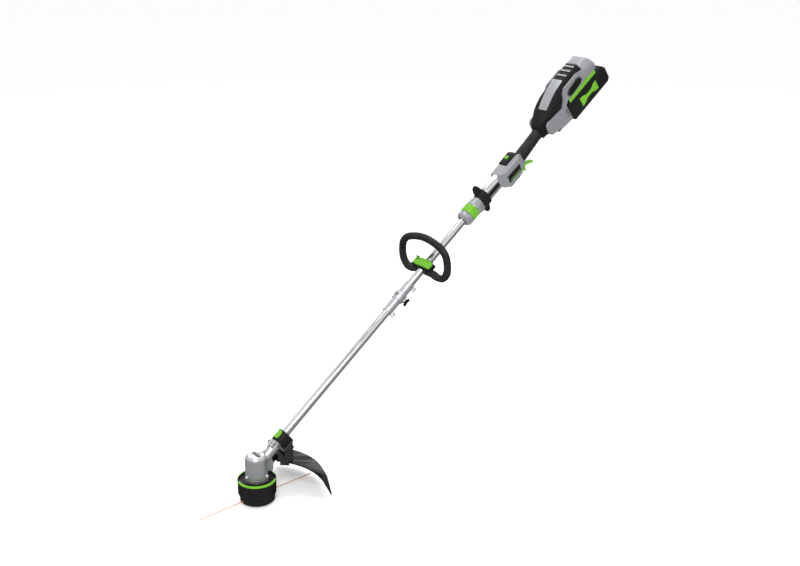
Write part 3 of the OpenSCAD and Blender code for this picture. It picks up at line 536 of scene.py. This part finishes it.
def settle(made, body, slot, *nodes, sharp=35):
    """Shades a piece, gives it its slot's material and rides it on its body."""
    mesh = made.data
    mesh.shade_smooth()
    mesh.set_sharp_from_angle(angle=math.radians(sharp))
    if not mesh.materials:
        mesh.materials.append(MATERIALS[slot])
    if nodes:
        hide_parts(*nodes)
    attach(made, body)
    return made


def piece(name, bm, space, slot, body, *nodes, sharp=35):
    return settle(as_object(name, bm, space), body, slot, *nodes, sharp=sharp)


def copied(node):
    """A new object with a CAD node's mesh, its seams welded and its flats merged."""
    bm = bmesh.new()
    bm.from_mesh(frame["nodes"][node].data)
    bmesh.ops.remove_doubles(bm, verts=bm.verts, dist=WELD)
    bmesh.ops.dissolve_limit(
        bm, angle_limit=math.radians(FLAT_ANGLE), verts=bm.verts, edges=bm.edges, delimit={"NORMAL"}
    )
    return as_object(node + "_shaped", bm, Matrix.Identity(4))


def eased(node, width, segments=2, slot=None):
    """A CAD node with its edges rounded."""
    made = copied(node)
    soften(made, width, segments)
    return settle(made, frame["nodes"][node]["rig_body"], slot or slots[node], node)


def melted(node, voxel, rounds):
    """A CAD node remade as one cast skin with filleted edges."""
    bm = bmesh.new()
    bm.from_mesh(frame["nodes"][node].data)
    bmesh.ops.remove_doubles(bm, verts=bm.verts, dist=WELD)
    made = as_object(node + "_cast", bm, Matrix.Identity(4))
    remesh = made.modifiers.new("skin", "REMESH")
    remesh.mode = "VOXEL"
    remesh.voxel_size = voxel * MM
    smooth = made.modifiers.new("smooth", "SMOOTH")
    smooth.factor = 0.5
    smooth.iterations = rounds
    apply_modifiers(made)
    return settle(made, frame["nodes"][node]["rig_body"], slots[node], node, sharp=80)

# ---------- shaft ----------

TUBE_R = 12.7
TUBE_WALL = 1.5
BORE_R = 12.76
OVAL_R = 18
OVAL_TOP = 4
OVAL_LOW = -13


def arc(centre, radius, first, last, count=12):
    """Points on a circle from one angle to another, in degrees."""
    steps = [math.radians(first + (last - first) * i / count) for i in range(count + 1)]
    return [(centre[0] + radius * math.cos(a), centre[1] + radius * math.sin(a)) for a in steps]


def round_tube(node):
    """A drawn tube with its ends broken, in place of a CAD tube."""
    low, high = span(node)
    wall = [(TUBE_R, low), (TUBE_R, high), (TUBE_R - TUBE_WALL, high), (TUBE_R - TUBE_WALL, low)]
    tube = lathe(fillet(wall, 0.4, 2), 128, "x")
    piece(node + "_drawn", tube, SHAFT, slots[node], frame["nodes"][node]["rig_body"], node, sharp=50)


def stadium(grow=0.0, count=24):
    """The flat-sided oval of the outer tube, as (across, up), grown all round."""
    r = OVAL_R + grow
    return arc((0, OVAL_TOP), r, 0, 180, count) + arc((0, OVAL_LOW), r, 180, 360, count)


def circle(radius, up=0.0, count=24):
    """A circle with as many points as stadium(), in the same order."""
    return arc((0, up), radius, 0, 180, count) + arc((0, up), radius, 180, 360, count)


def ribbon(sections, wrap=False):
    """Skins a row of (place along the shaft, outline across it)."""
    bm = bmesh.new()
    rings_to_mesh(bm, [[(u, y, z) for y, z in outline] for u, outline in sections], wrap=wrap)
    clean(bm)
    return bm


def form(name, outlines, space=SHAFT, round_by=0.0, segments=2):
    """The solid common to several extrusions, each (outline, low, high, plane), with its edges rounded."""
    first, *rest = [extrude(outline, low, high, plane) for outline, low, high, plane in outlines]
    made = as_object(name, first, space)
    carve(made, rest, space, "INTERSECT")
    if round_by:
        soften(made, round_by, segments)
    return made


round_tube("lower_tube")
round_tube("upper_tube")

tube_low, tube_high = span("outer_tube")
piece(
    "outer_tube_drawn",
    ribbon([
        (tube_low + 0.4, stadium(-0.3)), (tube_low + 0.7, stadium()), (tube_high - 0.7, stadium()),
        (tube_high - 0.4, stadium(-0.3)), (tube_high - 0.4, stadium(-2)), (tube_low + 0.4, stadium(-2)),
    ], wrap=True),
    SHAFT, "tube_aluminium", "handle", "outer_tube", sharp=50,
)

# ---------- split coupler ----------

melted("coupler_body", 0.6, 3)
eased("coupler_bolts", 0.3)
eased("release_button", 0.5, 3)
eased("wing_knob", 1.2, 3)

# ---------- loop handle ----------

LOOP_U = (span("handle_clamp_cap")[0] + span("handle_clamp_cap")[1]) / 2
LOOP_LEAN = 34
LOOP_HALF = [
    (24, -15), (42, -17), (64, -22), (88, -19), (105, -3), (112, 16),
    (112, 41), (105, 64), (84, 83), (52, 94), (26, 99), (0, 101),
]


def smooth_path(points, steps):
    """A Catmull-Rom curve through points."""
    last = len(points) - 1
    pick = [Vector(points[min(max(i, 0), last)]) for i in range(-1, last + 2)]
    path = []
    for i in range(last):
        a, b, c, d = pick[i:i + 4]
        for k in range(steps):
            t = k / steps
            path.append(0.5 * (
                2 * b + (c - a) * t + (2 * a - 5 * b + 4 * c - d) * t ** 2 + (3 * b - a - 3 * c + d) * t ** 3
            ))
    path.append(Vector(points[-1]))
    return path


def loop_bar():
    """The bent bar: round over the top, wide and flat where it runs into the clamp."""
    points = LOOP_HALF + [(-y, up) for y, up in reversed(LOOP_HALF[:-1])]
    path = smooth_path(points, 8)
    lean = Matrix.Rotation(math.radians(LOOP_LEAN), 3, "Y")
    reach = [0.0]
    for a, b in zip(path, path[1:]):
        reach.append(reach[-1] + (b - a).length)
    bm = bmesh.new()
    rings = []
    for i, point in enumerate(path):
        ahead = (path[min(i + 1, len(path) - 1)] - path[max(i - 1, 0)]).normalized()
        out = Vector((-ahead.y, ahead.x))
        from_end = min(reach[i], reach[-1] - reach[i])
        flat = 1 - min(max((from_end - 10) / 75, 0), 1) ** 0.8
        bead = 0.8 if 92 < from_end < 96 or 100 < from_end < 101.5 else 0
        wide = 12.2 + 5.0 * flat + bead
        thick = 12.2 - 2.4 * flat + bead
        ring = []
        for j in range(40):
            a = 2 * math.pi * j / 40
            across = point + out * thick * math.cos(a)
            ring.append(lean @ Vector((wide * math.sin(a), across.x, across.y)) + Vector((LOOP_U, 0, 0)))
        rings.append(ring)
    rings_to_mesh(bm, rings)
    clean(bm)
    return bm


CLAMP_HALF = 19
piece("loop_bar", loop_bar(), SHAFT, "rubber_grip", "loop_handle", "loop_handle", sharp=60)
lower_jaw = fillet([(-28, -0.3), (-30, -11), (-20, -21), (20, -21), (30, -11), (28, -0.3)], 4)
lower_jaw = lower_jaw[:-1] + [(28, -0.3)] + arc((0, 0), BORE_R, -2, -178, 20)
piece(
    "loop_lower_jaw", extrude(lower_jaw, LOOP_U - CLAMP_HALF, LOOP_U + CLAMP_HALF, "across", 1.4, 3),
    SHAFT, "satin_black", "loop_handle",
)
eased("handle_clamp_cap", 1.2, 3)
LEVER_HALF = 12.4
LEVER_PIVOT = (0, 34, 19)
PIN_HALF = 17


def axle(radius, half, soft, steps, segments, closed=True):
    """A round bar on the lever's pivot."""
    ends = [(0, LOOP_U - half), (radius, LOOP_U - half), (radius, LOOP_U + half), (0, LOOP_U + half)]
    return moved(lathe(fillet(ends, soft, steps, closed), segments, "x"), LEVER_PIVOT)


lever = form("clamp_lever_arched", [
    (fillet([
        (-42, 13.8), (-42, 19), (-36, 24), (-14, 27), (20, 27), (36, 23.4), (38.5, 19), (35, 16.6),
        (-24, 16.6), (-34, 13.8),
    ], 5, 5), LOOP_U - LEVER_HALF, LOOP_U + LEVER_HALF, "across"),
    (fillet([
        (LOOP_U - 13, -42), (LOOP_U + 13, -42), (LOOP_U + 13, 39), (LOOP_U - 13, 39),
    ], 11, 7), 0, 60, "plan"),
], round_by=3.2, segments=5)
carve(lever, [axle(5, LEVER_HALF, 0.8, 3, 48)], SHAFT, "UNION")
settle(lever, "clamp_lever", "green_plastic", "clamp_lever")
piece("clamp_lever_pin", axle(3, PIN_HALF, 0.5, 2, 32, False), SHAFT, "steel", "clamp_lever")
pad = brick(LOOP_U + 2, LOOP_U + 9, 17, 25, 24, 27, 0.4)
piece("clamp_lever_pad", pad, SHAFT, "satin_black", "clamp_lever")

# ---------- collar and hanger ----------

cap_low, cap_high = span("collar_cap")
ring_low, ring_high = span("lock_ring")
sleeve_low, sleeve_high = span("collar_sleeve")
cap_profile = fillet([
    (13.3, cap_low + 1), (21.5, cap_low), (27.6, cap_low + 9), (27.6, cap_high - 1.2),
    (26.6, cap_high - 0.2), (17, cap_high - 0.2), (17, cap_low + 5), (13.3, cap_low + 5),
], 0.9, 3)
cap = moved(lathe(cap_profile, 96, "x"), (0, 0, -1))
piece("collar_cap_turned", cap, SHAFT, "silver_plastic", "handle", "collar_cap")
ring_profile = fillet([(24, ring_low), (28.2, ring_low), (28.2, ring_high), (24, ring_high)], 1.0, 3)
lock_ring = as_object("lock_ring_turned", lathe(ring_profile, 128, "x"), SHAFT)
lobe_outline = fillet([(-7, 25), (7, 25), (5.4, 31.6), (-5.4, 31.6)], 1.6)
lobes = [
    turned(extrude(lobe_outline, ring_low + 0.6, ring_high - 0.6, "across", 0.7), a, "X") for a in (-140, 40)
]
carve(lock_ring, lobes, SHAFT, "UNION")
grooves = [
    turned(brick(ring_low - 2, ring_high + 2, -0.8, 0.8, 27.4, 30, 0), a, "X")
    for a in list(range(-122, 24, 12)) + list(range(58, 204, 12))
]
carve(lock_ring, grooves, SHAFT)
settle(lock_ring, "lock_ring", "green_plastic", "lock_ring")

sleeve = ribbon([
    (ring_high + 0.6, circle(17.2)), (ring_high + 0.6, circle(26.6, -1)), (ring_high + 1.6, circle(27.6, -1)),
    (ring_high + 6, circle(27.8, -1.4)), (ring_high + 18, [
        (0.45 * a[0] + 0.55 * b[0], 0.45 * a[1] + 0.55 * b[1])
        for a, b in zip(circle(27.8, -1.4), stadium(4.5))
    ]),
    (sleeve_high - 10, stadium(4.2)), (sleeve_high - 1.2, stadium(3.6)), (sleeve_high, stadium(2.6)),
    (sleeve_high, stadium(0.1)), (ring_high + 14, stadium(0.1)), (ring_high + 14, circle(17.2)),
], wrap=True)
piece("collar_sleeve_moulded", sleeve, SHAFT, "silver_plastic", "handle", "collar_sleeve", sharp=50)
eased("strap_hanger", 1.2, 3)
inserts = [
    brick(1178, 1235.5, *sorted((side * 17.3, side * 18.25)), -9.8, 4.8, 0.3) for side in (-1, 1)
]
piece("side_inserts_set", joined(inserts), SHAFT, "satin_black", "handle", "side_inserts")

# ---------- cutting head ----------

for node, width in {
    "head_housing": 0.9, "spool_cover": 0.8, "line_eyelets": 0.3, "bump_knob": 1.4,
    "spindle_nut": 0.5, "motor_base": 0.5, "guard_screws": 0.4, "guard_bracket": 1.3,
    "bracket_cap": 0.9, "guard_plate": 0.8, "guard": 1.1, "line_blade": 0.25, "lower_plug": 0.4,
    "upper_socket": 0.4, "collet": 0.4,
}.items():
    eased(node, width, 3)

melted("motor_housing", 0.9, 4)
eased("motor_screws", 0.4, 3, "satin_black")

# ---------- trigger handle ----------

for node, width in {
    "trigger_housing_left": 1.0, "trigger_housing_right": 1.0, "trigger_top_cover": 1.3, "badge_plates": 0.6,
    "trigger": 1.4, "lock_button": 0.9, "housing_screws": 0.4,
}.items():
    eased(node, width, 3)

# ---------- battery head ----------

for node, width in {
    "rear_housing_left": 1.6, "rear_housing_right": 1.6, "rear_frame": 1.4, "top_panel": 0.7,
    "terminal_block": 0.4, "controller": 0.4, "battery_case": 1.8, "battery_trim": 0.5,
    "battery_button": 1.0, "battery_cells": 0.5,
}.items():
    eased(node, width, 3)

# ---------- small details ----------


def head_piece(name, bm, slot, node, sharp=35):
    return piece(name, bm, HEAD, slot, frame["nodes"][node]["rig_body"], sharp=sharp)


# Raised ribs in two groups round the head, and a thin dark patch round each eyelet, painted shade for the
# window the line runs out of
RIB_SPOTS = [*range(160, 189, 5), *range(288, 312, 5), *range(340, 369, 5), *range(108, 132, 5)]
head_piece("head_ribs", joined([
    turned(brick(59.4, 60.7, -1.3, 1.3, 33, 64, 0.5), a) for a in RIB_SPOTS
]), "satin_black", "head_housing")
LINE_TURN = 2.4
window_shade_patches = [turned(brick(54.0, 54.75, -9, 9, 8.5, 21.5, 0.3), LINE_TURN + a) for a in (0, 180)]
head_piece("eyelet_window_shade", joined(window_shade_patches), "rubber_grip", "spool_cover")

# Plain plate let into the motor's top, with a raised rim
PLATE_Z = 154.7
plate = brick(-2.9, 8.6, -19.9, 19.9, PLATE_Z, PLATE_Z + 1.0, 0.3)
head_piece("motor_plate", plate, "satin_black", "motor_housing")
head_piece("motor_plate_bars", joined([
    brick(-1.2, 6.9, y - 1.1, y + 1.1, PLATE_Z + 0.9, PLATE_Z + 1.25, 0.1) for y in (-14, -7, 0, 7, 14)
]), "silver_plastic", "motor_housing")

# Rubber grip on its own axis, which rises from the shaft's
GRIP_START = Vector((1352, 0, -14))
GRIP_RISE = 4.3
GRIP = SHAFT @ Matrix.Translation(GRIP_START) @ Matrix.Rotation(math.radians(-GRIP_RISE), 4, "Y")
grip_profile = fillet([
    (13, 0.5, 0.3), (17, 0.5, 0.5), (17, 12, 0.5), (20.6, 12, 1.6), (21.5, 15.5, 2), (21.5, 22, 8),
    (20.3, 66, 30), (19.4, 112, 12), (20.4, 118, 2), (20.2, 121, 1), (17, 121, 0.5), (17, 131.5, 0.5),
    (13, 131.5, 0.3),
], 1, 5)
grip = as_object("grip_sleeve", lathe(grip_profile, 112, "x"), GRIP)
settle(grip, "handle", "rubber_grip", "grip", sharp=50)


def shrunk(outline, inset):
    """An outline drawn in towards its middle by about this much."""
    centre = sum((Vector(p) for p in outline), Vector((0, 0))) / len(outline)
    made = []
    for p in outline:
        away = Vector(p) - centre
        made.append(tuple(centre + away * (1 - inset / away.length)))
    return made


def shaft_piece(name, bm, slot, node, sharp=35):
    return piece(name, bm, SHAFT, slot, frame["nodes"][node]["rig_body"], sharp=sharp)


# Light outline on each oval badge, and a stripe on the trigger housing's plate
BADGE = [
    (1636, 25), (1648, 22.5), (1700, 27), (1711, 34), (1713, 43), (1705, 54), (1692, 57), (1642, 51),
    (1630, 43), (1630, 33),
]
for side in (-1, 1):
    low, high = sorted((side * 43.6, side * 44.25))
    ring = as_object("badge_outline", extrude(fillet(shrunk(BADGE, 1.4), 6, 5), low, high), SHAFT)
    carve(ring, [extrude(fillet(shrunk(BADGE, 3.4), 6, 5), low - 1, high + 1)], SHAFT)
    settle(ring, "handle", "tube_aluminium")
stripe = brick(1275, 1327, -29.85, -29.3, -24.6, -22.8, 0.15)
shaft_piece("handle_plate_stripe", stripe, "green_plastic", "badge_plates")

# Thin dark strips on the grey arms beside the battery's nose, painted shade standing in for the louvre slots
louvre_shade_strips = [
    brick(1590 + 1.6 * i, 1604, side * 42.2 - 0.25, side * 42.2 + 0.25, -4 - 7 * i, -1.4 - 7 * i, 0.1)
    for i in range(5) for side in (-1, 1)
]
shaft_piece("arm_louvre_shade", joined(louvre_shade_strips), "satin_black", "rear_frame")
